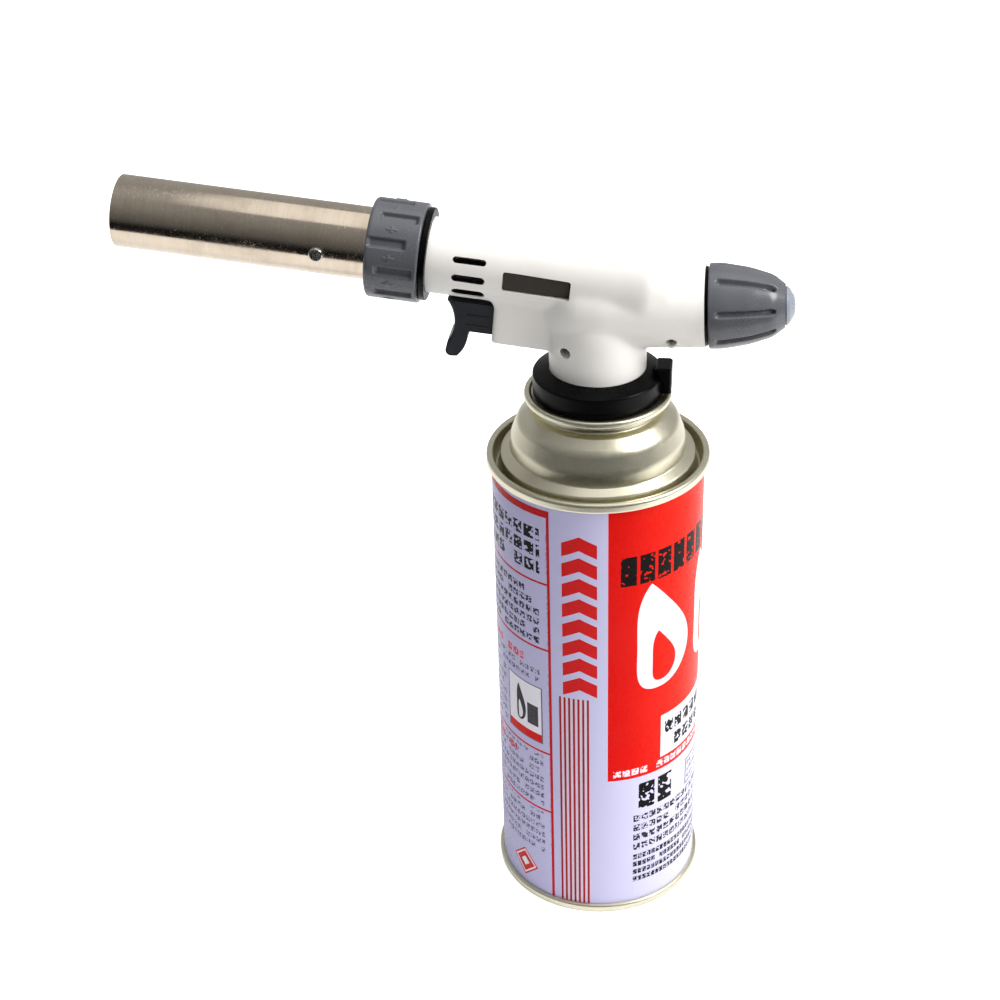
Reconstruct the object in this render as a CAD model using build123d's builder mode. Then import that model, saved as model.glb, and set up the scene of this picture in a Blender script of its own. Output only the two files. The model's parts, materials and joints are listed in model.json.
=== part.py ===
from build123d import *
import os
from math import cos, radians, sin

os.makedirs("parts", exist_ok=True)

# ---------------------------------------------------------------- driving dimensions, mm and degrees
# Origin: centre of the cartridge's base, on the table. The barrel points to -X, the knob to +X.
GAP = 0.3  # between pieces that move past each other
SHEET = 0.5  # tinplate

CAN_R = 32.5
SEAM_R = 34.0
SEAM_H = 3.0
CAN_TOP = 158.9
FLANGE_TOP = 178.6  # plate of the guide flange, which the head sits over
FLANGE_BORE = 13.0
SLOT_BORE = 15.5
LUGS = 3
LUG_ARC = 28.0
TWIST = 40.0  # from locked to free

BURNER_TILT = 6.27
BURNER_Z = 216.37
BARREL_R = 10.6
BARREL_WALL = 0.6
BARREL_START = 52.8
BARREL_END = 141.3
SCREW_STATION = 80.2

HOUSING_DROP = 0.8  # the white tube and the collar hang this much below the barrel's axis
TUBE_R = 10.9
TUBE_BORE = 9.3
TUBE_END = 50.2
WALL = 1.8
NECK_R = 14.4
NECK_FOOT = 182.05
REAR_R = 12.0
FAIRING_Z = 208.3  # the cone that fairs the hump into the rear boss
REAR_END = 31.3
VENTS = ((22.0, 1.9), (-7.0, 2.4), (-36.0, 3.2))  # angle above the side and width
SLOT_START = 31.2
SLOT_END = 40.9
BOSS_R = 2.2
SCREW_X_Z = ((-8.3, 196.3), (22.0, 200.0))

COLLAR_R = 14.5
COLLAR_START = 50.5
COLLAR_END = 66.0
COLLAR_BARS = 11
TUBE_RING_R = 13.5  # the black ring on the tube's end, seen behind the collar
TUBE_RING_LONG = 1.7
SLEEVE_R = 9.0
SLEEVE_WALL = 0.7

KNOB_TILT = 2.42
KNOB_Z = 206.1
KNOB_START = 32.3
KNOB_TIP = 56.9
FLUTES = 8
SPINDLE_R = 2.0
THREAD_R = 2.6

TRIGGER_HALF = 5.7
TRIGGER_TRAVEL = 6.0
BLOCK_HALF = 7.8
BLOCK_BOTTOM = -22.4
PLUNGER_DROP = -16.0
RING_R = 19.4

# ---------------------------------------------------------------- directions and planes
tilt = radians(BURNER_TILT)
forward = Vector(-cos(tilt), 0, sin(tilt))
rise = Vector(sin(tilt), 0, cos(tilt))
backward = Vector(cos(radians(KNOB_TILT)), 0, sin(radians(KNOB_TILT)))

# In each side plane, x runs along the round pieces' axis and y away from it.
can_side = Plane(origin=(0, 0, 0), x_dir=(0, 0, 1), z_dir=(0, 1, 0))
burner_side = Plane(origin=(0, 0, BURNER_Z), x_dir=forward, z_dir=(0, 1, 0))
tube_side = Plane(origin=Vector(0, 0, BURNER_Z) - rise * HOUSING_DROP, x_dir=forward, z_dir=(0, 1, 0))
knob_side = Plane(origin=(0, 0, KNOB_Z), x_dir=backward, z_dir=(0, -1, 0))
fairing_side = Plane(origin=(0, 0, FAIRING_Z), x_dir=(cos(radians(1.1)), 0, -sin(radians(1.1))), z_dir=(0, -1, 0))


def axis_of(side):
    """The axis that a side plane's round pieces share."""
    return Axis(side.origin, side.x_dir)


def station(side, distance):
    """The plane across a side plane's axis, this far along it, with its x direction upwards."""
    return Plane(origin=side.origin + side.x_dir * distance, x_dir=side.y_dir, z_dir=side.x_dir)


def swung(side, angle):
    """A side plane turned about its own x axis."""
    turn = radians(angle)
    return Plane(origin=side.origin, x_dir=side.x_dir, z_dir=side.z_dir * cos(turn) - side.y_dir * sin(turn))


def facing(side, angle, along, out=0.0):
    """The plane that looks outwards at an angle about a side plane's axis, 0 being upwards."""
    outward = swung(side, angle).y_dir
    return Plane(origin=side.origin + side.x_dir * along + outward * out, x_dir=side.x_dir, z_dir=outward)


def turned(side, points, arc=360.0, start=0.0):
    """A round piece from its profile: (distance along the axis, radius, corner rounding) each."""
    with BuildPart() as piece:
        with BuildSketch(swung(side, start)):
            with BuildLine():
                FilletPolyline(*[(along, radius) for along, radius, _ in points],
                               radius=[rounding for _, _, rounding in points], close=True)
            make_face()
        revolve(axis=axis_of(side), revolution_arc=arc)
    return piece


def tube(side, start, end, outer, bore=0.0, rounding=0.0):
    """A plain tube or rod along a side plane's axis."""
    return turned(side, [(start, bore, 0), (end, bore, 0), (end, outer, rounding), (start, outer, rounding)])


def screw_rods(radius, start, end):
    """Rods across the housing at the shell screws, from one y to another."""
    with BuildPart() as rods:
        with BuildSketch(Plane(origin=(0, start, 0), x_dir=(1, 0, 0), z_dir=(0, -1, 0))):
            with Locations(*SCREW_X_Z):
                Circle(radius)
        extrude(amount=start - end)
    return rods


def save(piece, name):
    """Label a finished piece and write its STEP."""
    piece.part.label = name
    export_step(piece.part, f"parts/{name}.step")


# ---------------------------------------------------------------- cartridge
can_wall = tube(can_side, SEAM_H, CAN_TOP - SEAM_H, CAN_R, CAN_R - SHEET)
save(can_wall, "can_wall")

bottom_end = turned(can_side, [
    (0, 32.4, 0.4), (0, SEAM_R - 0.3, 0.6), (SEAM_H, SEAM_R, 0.9), (SEAM_H, CAN_R - SHEET, 0),
    (5.2, 31.9, 0), (5.2, 29.6, 0.8), (4.4, 27.0, 3.0), (8.5, 8.0, 20.0), (8.5, 0, 0),
    (8.0, 0, 0), (8.0, 8.0, 20.0), (3.9, 26.9, 3.0), (4.7, 29.9, 0.5), (4.7, 31.3, 0.4)])
save(bottom_end, "bottom_end")

# The top end: seam, groove, shoulder, bell, and the neck that the valve cup is crimped into.
NECK_TOP = 177.4
top_end = turned(can_side, [
    (CAN_TOP - SEAM_H, CAN_R - SHEET, 0), (CAN_TOP - SEAM_H, SEAM_R, 0.7), (CAN_TOP, SEAM_R - 0.1, 1.0),
    (CAN_TOP, 31.9, 0.7), (153.4, 31.4, 0.5), (153.4, 30.3, 0.5), (158.7, 29.6, 0.9),
    (160.6, 26.8, 0.7), (164.6, 26.3, 7.0), (170.2, 24.2, 5.0), (173.4, 20.8, 1.5), (173.8, 18.6, 0.6),
    (NECK_TOP, 18.4, 0), (NECK_TOP, 17.9, 0), (173.3, 18.1, 0.6), (172.9, 20.6, 1.0), (169.9, 23.7, 4.6),
    (164.5, 25.8, 6.6), (160.1, 26.3, 0.6), (158.2, 29.1, 0.5), (152.9, 29.9, 0.4), (152.9, 31.8, 0.5)])
save(top_end, "top_end")

with BuildPart() as guide_flange:
    add(turned(can_side, [
        (FLANGE_TOP, FLANGE_BORE, 0.2), (FLANGE_TOP, 19.9, 0.4), (FLANGE_TOP + 0.7, 20.5, 0.5),
        (FLANGE_TOP + 0.7, 22.0, 0.9), (177.1, 22.1, 0.7), (177.1, 20.6, 0.5), (FLANGE_TOP - 0.6, 20.1, 0.3),
        (FLANGE_TOP - 0.6, FLANGE_BORE, 0.1)]).part)
    for lug in range(LUGS):
        add(turned(can_side, [
            (FLANGE_TOP - 1, 10, 0), (FLANGE_TOP + 1, 10, 0), (FLANGE_TOP + 1, SLOT_BORE, 0),
            (FLANGE_TOP - 1, SLOT_BORE, 0)], arc=LUG_ARC + 8,
            start=lug * 360 / LUGS + TWIST - LUG_ARC / 2 - 4).part, mode=Mode.SUBTRACT)
save(guide_flange, "guide_flange")

# The cup hangs in the neck, with a pedestal in its middle that the valve is staked into.
CUP_FLOOR = 171.0
PEDESTAL_TOP = 177.2
valve_cup = turned(can_side, [
    (CUP_FLOOR, 5.2, 0.3), (PEDESTAL_TOP - 0.6, 5.2, 0.3), (PEDESTAL_TOP - 0.6, 2.4, 0),
    (PEDESTAL_TOP, 2.4, 0), (PEDESTAL_TOP, 5.8, 0.8), (CUP_FLOOR + 0.6, 5.9, 0.5),
    (CUP_FLOOR + 0.6, 16.0, 0.6), (FLANGE_TOP - 0.62, 16.0, 0.3), (FLANGE_TOP - 0.62, 18.2, 0.3),
    (NECK_TOP + 0.02, 18.2, 0), (NECK_TOP + 0.02, 16.6, 0), (CUP_FLOOR, 16.6, 1.0)])
save(valve_cup, "valve_cup")

cup_gasket = tube(can_side, 172.6, NECK_TOP, 17.85, 16.65)
save(cup_gasket, "cup_gasket")

valve_housing = turned(can_side, [
    (154.0, 1.0, 0), (161.5, 1.0, 0), (161.5, 4.0, 0), (175.4, 4.0, 0), (175.4, 5.1, 0.3), (160.0, 5.1, 0.6),
    (158.0, 2.2, 0.3), (154.0, 2.2, 0)])
save(valve_housing, "valve_housing")

stem_gasket = tube(can_side, 175.45, PEDESTAL_TOP - 0.62, 5.0, 2.05)
save(stem_gasket, "stem_gasket")

valve_stem = turned(can_side, [
    (170.4, 0, 0), (183.0, 0, 0), (183.0, 1.95, 0.3), (173.8, 1.95, 0), (173.8, 3.4, 0.2),
    (172.2, 3.4, 0.2), (172.2, 1.4, 0), (170.4, 1.4, 0)])
save(valve_stem, "valve_stem")


def coil(side, start, end, radius, wire, turns):
    """A round-wire compression spring between two stations of an axis."""
    height = end - start - 2 * wire
    with BuildPart() as spring:
        with BuildLine() as path:
            Helix(pitch=height / turns, height=height, radius=radius,
                  center=station(side, start + wire).origin, direction=side.x_dir)
        with BuildSketch(Plane(origin=path.line @ 0, z_dir=path.line % 0)):
            Circle(wire)
        sweep()
    return spring


valve_spring = coil(can_side, 161.6, 172.1, 2.9, 0.35, 6)
save(valve_spring, "valve_spring")

# The pick-up tube is pushed over the housing's spigot and bends out to the wall.
with BuildPart() as dip_tube:
    with BuildLine():
        FilletPolyline((0, 0, 157.5), (0, 0, 140.0), (26.0, 0, 116.0), radius=22.0)
    with BuildSketch(Plane(origin=(0, 0, 157.5), z_dir=(0, 0, -1))):
        Circle(3.1)
        Circle(2.25, mode=Mode.SUBTRACT)
    sweep()
save(dip_tube, "dip_tube")

# ---------------------------------------------------------------- mount ring and gas inlet
RING_FLOOR = 182.0
FOOT_TOP = FLANGE_TOP - 0.6 - GAP
with BuildPart() as mount_ring:
    add(turned(can_side, [
        (180.0, 4.6, 0), (180.0, 13.2, 0), (FLANGE_TOP + GAP, 13.2, 0), (FLANGE_TOP + GAP, RING_R, 0.3),
        (185.2, RING_R, 0.6), (187.4, NECK_R + 0.15, 0.2), (RING_FLOOR, NECK_R + 0.15, 0), (RING_FLOOR, 4.6, 0)]).part)
    with BuildSketch(Plane.XY.offset(180.4)):
        with Locations((19.6, 0)):
            RectangleRounded(4.8, 8.0, 0.8)
    extrude(amount=8.0)
    chamfer(mount_ring.faces().sort_by(Axis.Z)[-1].edges(), 0.5)
save(mount_ring, "mount_ring")

with BuildPart() as lug_plate:
    add(tube(can_side, FLANGE_TOP + GAP + 0.1, 179.95, 13.0, 4.65).part)
    for lug in range(LUGS):
        turn = lug * 360 / LUGS - LUG_ARC / 2
        add(turned(can_side, [
            (FOOT_TOP - 1.4, 11.2, 0.2), (179.4, 11.2, 0), (179.4, 12.7, 0), (FOOT_TOP, 12.7, 0),
            (FOOT_TOP, 15.1, 0.3), (FOOT_TOP - 1.4, 15.1, 0.3)], arc=LUG_ARC, start=turn).part)
save(lug_plate, "lug_plate")

inlet_nozzle = turned(can_side, [
    (178.0, 2.35, 0.2), (180.0, 2.35, 0), (180.0, 3.1, 0), (181.5, 3.1, 0), (181.5, 2.35, 0), (184.0, 2.35, 0),
    (184.0, 1.0, 0), (187.0, 1.0, 0), (187.0, 2.5, 0), (190.0, 2.5, 0), (190.0, 4.4, 0), (178.0, 4.4, 0.5)])
save(inlet_nozzle, "inlet_nozzle")

inlet_seal = turned(can_side, [(180.05, 2.0, 0.6), (181.45, 2.0, 0.6), (181.45, 3.08, 0.4), (180.05, 3.08, 0.4)])
save(inlet_seal, "inlet_seal")

inlet_filter = tube(can_side, 187.0, 189.6, 2.48, 0, 0.2)
save(inlet_filter, "inlet_filter")

# ---------------------------------------------------------------- die-cast valve block
BLOCK_R = 7.5
CHAMBER_END = 18.0
JET_SEAT = 14.0
with BuildPart() as valve_block:
    add(turned(can_side, [
        (RING_FLOOR + 0.1, 4.42, 0), (190.0, 4.42, 0), (190.0, 0, 0), (212.0, 0, 0), (212.0, BLOCK_R, 1.0),
        (186.0, BLOCK_R, 0.8), (185.2, 12.3, 0.3), (RING_FLOOR + 0.1, 12.3, 0)]).part)
    add(tube(burner_side, -6.0, JET_SEAT, 5.2, 0, 0.8).part)
    add(tube(knob_side, 0.0, 22.0, 6.2, 0, 0.5).part)
    add(tube(burner_side, 0.0, JET_SEAT + 1, 1.0).part, mode=Mode.SUBTRACT)
    add(tube(burner_side, JET_SEAT - 5, JET_SEAT + 1, 2.5).part, mode=Mode.SUBTRACT)
    add(tube(can_side, 189.0, BURNER_Z, 0.9).part, mode=Mode.SUBTRACT)
    add(tube(knob_side, 2.8, 23.0, 2.2).part, mode=Mode.SUBTRACT)
    add(tube(knob_side, CHAMBER_END, 23.0, 4.0).part, mode=Mode.SUBTRACT)
    add(screw_rods(BOSS_R + 0.2, 14, -14).part, mode=Mode.SUBTRACT)
save(valve_block, "valve_block")

with BuildPart() as gland_nut:
    add(tube(knob_side, CHAMBER_END + 0.05, 23.0, 3.98).part)
    with BuildSketch(station(knob_side, 22.05)):
        RegularPolygon(5.0, 6, major_radius=False, rotation=30)
    extrude(amount=5.0)
    add(tube(knob_side, CHAMBER_END - 1, 28.0, THREAD_R + 0.05).part, mode=Mode.SUBTRACT)
save(gland_nut, "gland_nut")

jet = turned(burner_side, [
    (JET_SEAT - 4.5, 0.5, 0), (JET_SEAT + 8.0, 0.5, 0), (JET_SEAT + 8.0, 1.4, 0.2), (JET_SEAT + 5.0, 3.2, 0.3),
    (JET_SEAT + 0.05, 3.2, 0.3), (JET_SEAT + 0.05, 2.48, 0), (JET_SEAT - 4.5, 2.48, 0)])
save(jet, "jet")

# ---------------------------------------------------------------- burner
MIX_R = 6.0
MIX_BORE = 5.0
HEAD_START = 74.0
HEAD_END = 86.0
LEAD_R = 7.3  # from the burner's axis to the electrode
BARREL_SCREW_ANGLES = (-93.0, 87.0)
with BuildPart() as mixing_tube:
    add(turned(burner_side, [
        (16.0, MIX_BORE, 0), (HEAD_END, MIX_BORE, 0), (HEAD_END, MIX_R, 0), (16.0, MIX_R, 0)]).part)
    with BuildSketch(Plane(origin=burner_side.origin + forward * 36, x_dir=forward, z_dir=rise)):
        SlotOverall(10.0, 4.0)
    extrude(amount=10, both=True, mode=Mode.SUBTRACT)
    with BuildSketch(Plane(origin=burner_side.origin + forward * 36, x_dir=forward, z_dir=(0, 1, 0))):
        SlotOverall(10.0, 4.0)
    extrude(amount=10, both=True, mode=Mode.SUBTRACT)
save(mixing_tube, "mixing_tube")

# A web inside the housing carries the mixing tube on the valve block's spout.
tube_clamp = turned(burner_side, [(8.2, 5.25, 0), (15.8, 5.25, 0), (15.8, 4.0, 0), (19.5, 4.0, 0), (19.5, 4.95, 0.2),
                                  (15.9, 4.95, 0), (15.9, 6.3, 0.3), (8.2, 6.3, 0.3)])
save(tube_clamp, "tube_clamp")

with BuildPart() as burner_head:
    add(turned(burner_side, [
        (HEAD_START, MIX_R, 0), (HEAD_END, MIX_R, 0), (HEAD_END, 9.95, 0.3), (HEAD_START, 9.95, 0.3)]).part)
    with BuildSketch(station(burner_side, HEAD_START - 1)):
        with PolarLocations(8.0, 8):
            Circle(1.05)
        with Locations((-LEAD_R, 0)):
            Circle(0.95)
    extrude(amount=HEAD_END - HEAD_START + 2, mode=Mode.SUBTRACT)
    for angle in BARREL_SCREW_ANGLES:
        with BuildSketch(facing(burner_side, angle, SCREW_STATION, MIX_R + 1.15)):
            Circle(1.2)
        extrude(amount=4, mode=Mode.SUBTRACT)
save(burner_head, "burner_head")

with BuildPart() as flame_disc:
    add(tube(burner_side, HEAD_END + 0.05, HEAD_END + 2.0, 9.9, 0, 0.2).part)
    with BuildSketch(station(burner_side, HEAD_END)):
        Circle(1.5)
        with PolarLocations(3.6, 8):
            Circle(0.8)
        with PolarLocations(8.0, 8):
            Circle(1.05)
        with Locations((-LEAD_R, 0)):
            Circle(0.95)
    extrude(amount=3, mode=Mode.SUBTRACT)
save(flame_disc, "flame_disc")

with BuildPart() as barrel:
    add(turned(burner_side, [
        (BARREL_START, BARREL_R - BARREL_WALL, 0), (BARREL_END, BARREL_R - BARREL_WALL, 0.25),
        (BARREL_END, BARREL_R, 0.3), (BARREL_START, BARREL_R, 0.1)]).part)
    for angle in BARREL_SCREW_ANGLES:
        with BuildSketch(facing(burner_side, angle, SCREW_STATION, 8)):
            Circle(1.3)
        extrude(amount=4, mode=Mode.SUBTRACT)
save(barrel, "barrel")

with BuildPart() as barrel_screws:
    for angle in BARREL_SCREW_ANGLES:
        with BuildSketch(facing(burner_side, angle, SCREW_STATION, MIX_R + 1.2)):
            Circle(1.2)
        extrude(amount=BARREL_R - MIX_R - 1.1)
        with BuildSketch(facing(burner_side, angle, SCREW_STATION, BARREL_R)):
            Circle(2.2)
        extrude(amount=1.3)
        fillet(barrel_screws.faces().sort_by_distance(facing(burner_side, angle, SCREW_STATION, 20).origin)[0]
               .edges(), 0.6)
        with BuildSketch(facing(burner_side, angle, SCREW_STATION, BARREL_R + 0.45)):
            Rectangle(2.6, 0.5)
            Rectangle(0.5, 2.6)
        extrude(amount=2, mode=Mode.SUBTRACT)
save(barrel_screws, "barrel_screws")

lead_side = Plane(origin=burner_side.origin - rise * LEAD_R, x_dir=forward, z_dir=(0, 1, 0))
insulator = tube(lead_side, 17.0, 90.5, 0.9, 0.42, 0.2)
save(insulator, "insulator")

with BuildPart() as electrode:
    with BuildLine(lead_side):
        FilletPolyline((16.0, 0), (95.0, 0), (97.5, 3.2), radius=1.5)
    with BuildSketch(station(lead_side, 16.0)):
        Circle(0.4)
    sweep()
save(electrode, "electrode")

# ---------------------------------------------------------------- housing
BLOCK_FRONT = 28.3


def housing_body(inset):
    """The housing's outer form, or its hollow when inset by the wall."""
    tube_front = TUBE_END + 1 if inset else TUBE_END
    block_front = BLOCK_FRONT + 4 if inset else BLOCK_FRONT
    with BuildPart() as body:
        add(turned(tube_side, [
            (tube_front, 0, 0), (tube_front, TUBE_R - inset, 0.4), (22.0, TUBE_R + 0.1 - inset, 60),
            (-8.0, 12.9 - inset, 30), (-15.0, 13.6 - inset, 6), (-22.5 + inset, 11.0 - inset, 4),
            (-24.0 + inset, 0, 0)]).part)
        add(turned(can_side, [
            (NECK_FOOT - inset, 0, 0), (NECK_FOOT - inset, NECK_R - inset, 0), (203.0, NECK_R - inset, 16),
            (218.0, 8.0, 0), (218.0, 0, 0)]).part)
        add(turned(knob_side, [
            (-6.0, 0, 0), (REAR_END - inset, 0, 0), (REAR_END - inset, REAR_R - inset, 0.4),
            (-6.0, REAR_R - 0.6 - inset, 0)]).part)
        add(turned(fairing_side, [
            (-3.0, 0, 0), (26.5, 0, 0), (26.5, REAR_R - inset - 0.2, 0), (2.0, 13.9 - inset, 12), (-3.0, 13.3 - inset, 0)]).part)
        with BuildSketch(tube_side):
            with BuildLine():
                FilletPolyline((block_front, BLOCK_BOTTOM + inset), (block_front, -9.0 - inset * 0.2),
                               (block_front + 4.2, -6.0), (0, -4.0), (0, BLOCK_BOTTOM + inset),
                               radius=(0.3, 3.6, 0, 0, 0), close=True)
            make_face()
        extrude(amount=BLOCK_HALF - inset, both=True)
    return body


outer_form = housing_body(0)
hollow_form = housing_body(WALL)


with BuildPart() as housing:
    add(outer_form.part)
    add(hollow_form.part, mode=Mode.SUBTRACT)
    add((screw_rods(BOSS_R, 12, -12).part & outer_form.part))
    add(tube(knob_side, REAR_END - 4, REAR_END + 1, 4.3).part, mode=Mode.SUBTRACT)
    for angle, width in VENTS:
        for slot_side in (angle - 90, 90 - angle):
            with BuildSketch(facing(tube_side, slot_side, (SLOT_START + SLOT_END) / 2, TUBE_BORE - 1)):
                SlotOverall(SLOT_END - SLOT_START, width)
            extrude(amount=4, mode=Mode.SUBTRACT)
    add(screw_rods(1.65, -4.0, -16.0).part, mode=Mode.SUBTRACT)
    add(screw_rods(1.1, 0.0, -5.0).part, mode=Mode.SUBTRACT)
    add(screw_rods(0.95, 7.0, 0.0).part, mode=Mode.SUBTRACT)

PLATE_STATION = 16.4
PLATE_DROP = -0.4
plate_plane = Plane(origin=tube_side.origin + forward * PLATE_STATION + rise * PLATE_DROP,
                    x_dir=forward, z_dir=(0, -1, 0))
with BuildPart() as name_plate:
    with BuildSketch(plate_plane.offset(10.1)):
        RectangleRounded(19.2, 5.4, 0.6)
    extrude(amount=0.75)
    chamfer(name_plate.faces().sort_by(Axis.Y)[0].edges(), 0.2)
save(name_plate, "name_plate")

with BuildPart() as left_shell:
    add(housing.part)
    with BuildSketch(plate_plane.offset(10.08)):
        RectangleRounded(19.6, 5.8, 0.8)
    extrude(amount=4, mode=Mode.SUBTRACT)
    split(bisect_by=Plane.XZ, keep=Keep.TOP)
save(left_shell, "left_shell")

with BuildPart() as right_shell:
    add(housing.part)
    split(bisect_by=Plane.XZ, keep=Keep.BOTTOM)
save(right_shell, "right_shell")

with BuildPart() as shell_screws:
    add(screw_rods(1.5, -4.05, -5.4).part)
    add(screw_rods(0.93, 6.0, -4.2).part)
save(shell_screws, "shell_screws")

tube_ring = tube(tube_side, TUBE_END - TUBE_RING_LONG, TUBE_END, TUBE_RING_R, TUBE_R + 0.02, 0.3)
save(tube_ring, "tube_ring")

# ---------------------------------------------------------------- air collar
COLLAR_BORE = 11.9
BAR_ARC = 11.0
BAR_DEPTH = 0.8
BAR_INSET = 1.2  # from the collar's rear edge
BAR_LONG = 11.2
BAR_STAGGER = 2.6
with BuildPart() as collar:
    add(turned(tube_side, [
        (COLLAR_START, COLLAR_BORE, 0.2), (COLLAR_END, COLLAR_BORE, 0.4), (COLLAR_END, COLLAR_R, 1.4),
        (COLLAR_START, COLLAR_R, 0.6)]).part)
    for bar in range(COLLAR_BARS):
        start = COLLAR_START + BAR_INSET + (BAR_STAGGER if bar % 2 else 0.0)
        end = start + BAR_LONG
        add(turned(tube_side, [
            (start, COLLAR_R - BAR_DEPTH, 0.3), (end, COLLAR_R - BAR_DEPTH, 0.3), (end, COLLAR_R + 1, 0),
            (start, COLLAR_R + 1, 0)], arc=BAR_ARC,
            start=-92.5 + bar * 360 / COLLAR_BARS - BAR_ARC / 2).part, mode=Mode.SUBTRACT)
save(collar, "collar")

SLEEVE_START = 28.0
SLEEVE_FLANGE = 52.1
with BuildPart() as air_sleeve:
    add(turned(tube_side, [
        (SLEEVE_START, SLEEVE_R - SLEEVE_WALL, 0), (SLEEVE_FLANGE, SLEEVE_R - SLEEVE_WALL, 0.2),
        (SLEEVE_FLANGE, COLLAR_BORE, 0), (COLLAR_START, COLLAR_BORE, 0),
        (COLLAR_START, SLEEVE_R, 0.2), (SLEEVE_START, SLEEVE_R, 0.2)]).part)
    for angle, width in VENTS:
        for slot_side in (angle - 90, 90 - angle):
            with BuildSketch(facing(tube_side, slot_side, (SLOT_START + SLOT_END) / 2, SLEEVE_R - 1.5)):
                SlotOverall(SLOT_END - SLOT_START + 0.4, width + 0.2)
            extrude(amount=3, mode=Mode.SUBTRACT)
save(air_sleeve, "air_sleeve")

# ---------------------------------------------------------------- igniter and trigger
plunger_side = Plane(origin=tube_side.origin + rise * PLUNGER_DROP, x_dir=forward, z_dir=(0, 1, 0))
PIEZO_FRONT = 21.0
PIEZO_HALF = 4.4
TRIGGER_BACK = PIEZO_FRONT + TRIGGER_TRAVEL + GAP
with BuildPart() as piezo_igniter:
    with BuildSketch(station(plunger_side, 8.6)):
        RectangleRounded(8.6, 2 * PIEZO_HALF, 0.8)
    extrude(amount=PIEZO_FRONT - 8.6)
    add(tube(plunger_side, 9.4, PIEZO_FRONT + 1, 2.55).part, mode=Mode.SUBTRACT)
save(piezo_igniter, "piezo_igniter")

plunger = tube(plunger_side, 15.6, TRIGGER_BACK, 2.5, 0, 0.3)
save(plunger, "plunger")

trigger_spring = coil(plunger_side, PIEZO_FRONT + 0.05, TRIGGER_BACK - 0.05, 3.5, 0.35, 4)
save(trigger_spring, "trigger_spring")

with BuildPart() as ignition_lead:
    with BuildLine(tube_side):
        FilletPolyline((11.5, PLUNGER_DROP + 4.32), (11.5, HOUSING_DROP - LEAD_R), (16.0, HOUSING_DROP - LEAD_R),
                       radius=2.2)
    with BuildSketch(Plane(origin=tube_side.origin + forward * 11.5 + rise * (PLUNGER_DROP + 4.32), z_dir=rise)):
        Circle(0.7)
    sweep()
save(ignition_lead, "ignition_lead")

TRIGGER_TOP = -TUBE_R - GAP
with BuildPart() as trigger:
    with BuildSketch(tube_side):
        with BuildLine():
            top = Line((TRIGGER_BACK, TRIGGER_TOP), (42.3, TRIGGER_TOP))
            face = ThreePointArc(top @ 1, (39.8, -17.0), (41.3, -24.4))
            lip = Line(face @ 1, (41.7, -27.2))
            end = ThreePointArc(lip @ 1, (41.1, -28.6), (39.8, -29.0))
            foot = Line(end @ 1, (38.2, -28.8))
            heel = Spline(foot @ 1, (36.6, -26.6), (35.4, -21.4))
            under = Line(heel @ 1, (35.1, BLOCK_BOTTOM + WALL + GAP))
            floor = Line(under @ 1, (TRIGGER_BACK, BLOCK_BOTTOM + WALL + GAP))
            Line(floor @ 1, top @ 0)
        make_face()
    extrude(amount=TRIGGER_HALF, both=True)
    for rail in (-1, 1):
        with BuildSketch(station(tube_side, 15.2)):
            with Locations((PLUNGER_DROP, rail * (TRIGGER_HALF + 4.75) / 2)):
                Rectangle(5.0, TRIGGER_HALF - 4.75)
        extrude(amount=TRIGGER_BACK - 15.0)
    fillet(trigger.edges().filter_by(GeomType.CIRCLE).group_by(SortBy.LENGTH)[-1], 0.8)
save(trigger, "trigger")

# ---------------------------------------------------------------- flame knob
knob_ring = tube(knob_side, REAR_END + 0.02, KNOB_START - GAP, 11.5, 4.3, 0.15)
save(knob_ring, "knob_ring")

FLUTE_ARC = 9.0
with BuildPart() as knob:
    add(turned(knob_side, [
        (29.8, SPINDLE_R + 0.05, 0), (51.0, SPINDLE_R + 0.05, 0), (51.0, 0, 0), (54.0, 0, 0), (54.0, 6.25, 0.2),
        (50.6, 8.95, 9), (44.0, 11.05, 30), (36.0, 12.4, 22), (KNOB_START, 12.35, 0.6), (KNOB_START, 10.6, 0.3),
        (45.0, 8.6, 1.0), (46.0, 4.0, 0.8), (29.8, 4.0, 0.2)]).part)
    for flute in range(FLUTES):
        add(turned(knob_side, [
            (34.4, 11.5, 0), (44.0, 10.15, 12), (50.2, 8.2, 4), (51.6, 7.0, 0), (51.6, 14, 0), (34.4, 14, 0)],
            arc=FLUTE_ARC, start=77.0 + flute * 360 / FLUTES - FLUTE_ARC / 2).part, mode=Mode.SUBTRACT)
save(knob, "knob")

knob_cap = turned(knob_side, [(54.02, 0, 0), (54.02, 6.0, 0.3), (55.2, 5.0, 1.2), (56.6, 2.6, 2.0), (KNOB_TIP, 0, 0)])
save(knob_cap, "knob_cap")

with BuildPart() as spindle:
    add(turned(knob_side, [
        (3.1, 0, 0), (3.1, 0.3, 0), (6.0, 1.2, 0), (8.0, 1.2, 0), (8.0, 1.9, 0.2), (13.9, 1.9, 0), (13.9, 1.25, 0),
        (15.5, 1.25, 0), (15.5, 1.9, 0), (19.0, 1.9, 0), (19.0, THREAD_R, 0.2), (27.4, THREAD_R, 0.2),
        (27.4, SPINDLE_R, 0), (49.5, SPINDLE_R, 0.3), (49.5, 0, 0)]).part)
save(spindle, "spindle")

spindle_seal = turned(knob_side, [(13.95, 1.27, 0.4), (15.45, 1.27, 0.4), (15.45, 2.15, 0.4), (13.95, 2.15, 0.4)])
save(spindle_seal, "spindle_seal")
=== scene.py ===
import bmesh
import bpy
import json
from math import cos, pi, radians, sin, tan
from mathutils import Matrix, Vector


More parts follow.
